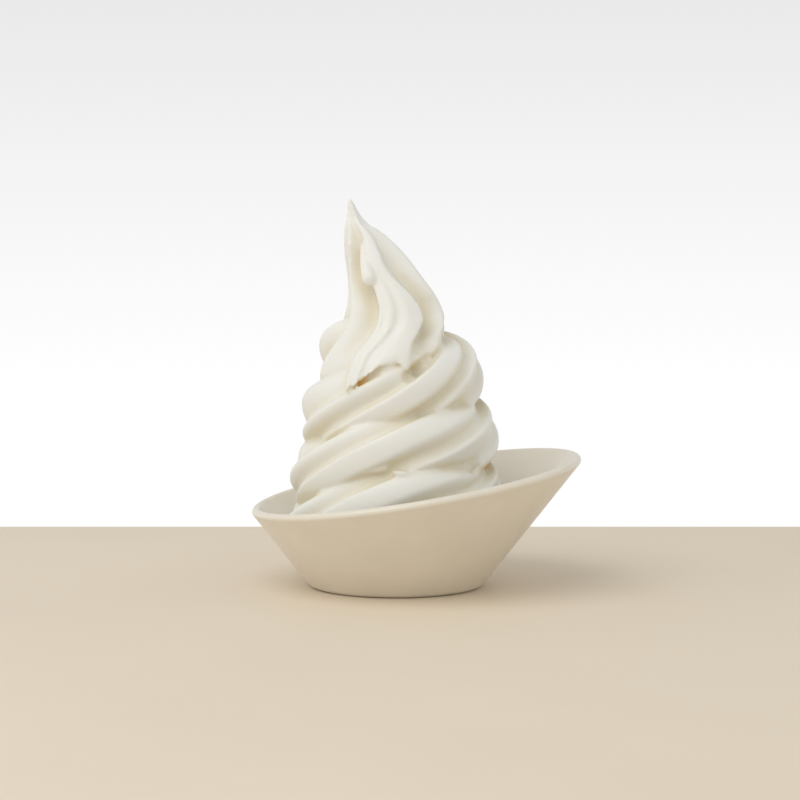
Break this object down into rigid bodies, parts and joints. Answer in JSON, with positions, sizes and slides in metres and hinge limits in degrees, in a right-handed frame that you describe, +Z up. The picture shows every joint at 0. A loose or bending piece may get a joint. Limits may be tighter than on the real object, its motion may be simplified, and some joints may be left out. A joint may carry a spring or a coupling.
{
  "type": "frozen yogurt swirl in a bowl",
  "caption": "Tall twisted swirl of vanilla frozen yogurt drawn up to a leaning tip, in a small porcelain bowl whose rim slopes up to one side.",
  "frame": {"origin": "middle of the bowl's flat foot, on the surface that it stands on", "axes": "+Z up, +X to the high side of the sloping rim, -Y to the front"},
  "size_m": [0.1308, 0.1298, 0.1546],
  "materials": {
    "porcelain": "glossy",
    "yogurt": "satin"
  },
  "bodies": {
    "root": {"bowl": "porcelain", "frozen_yogurt": "yogurt"}
  },
  "joints": []
}
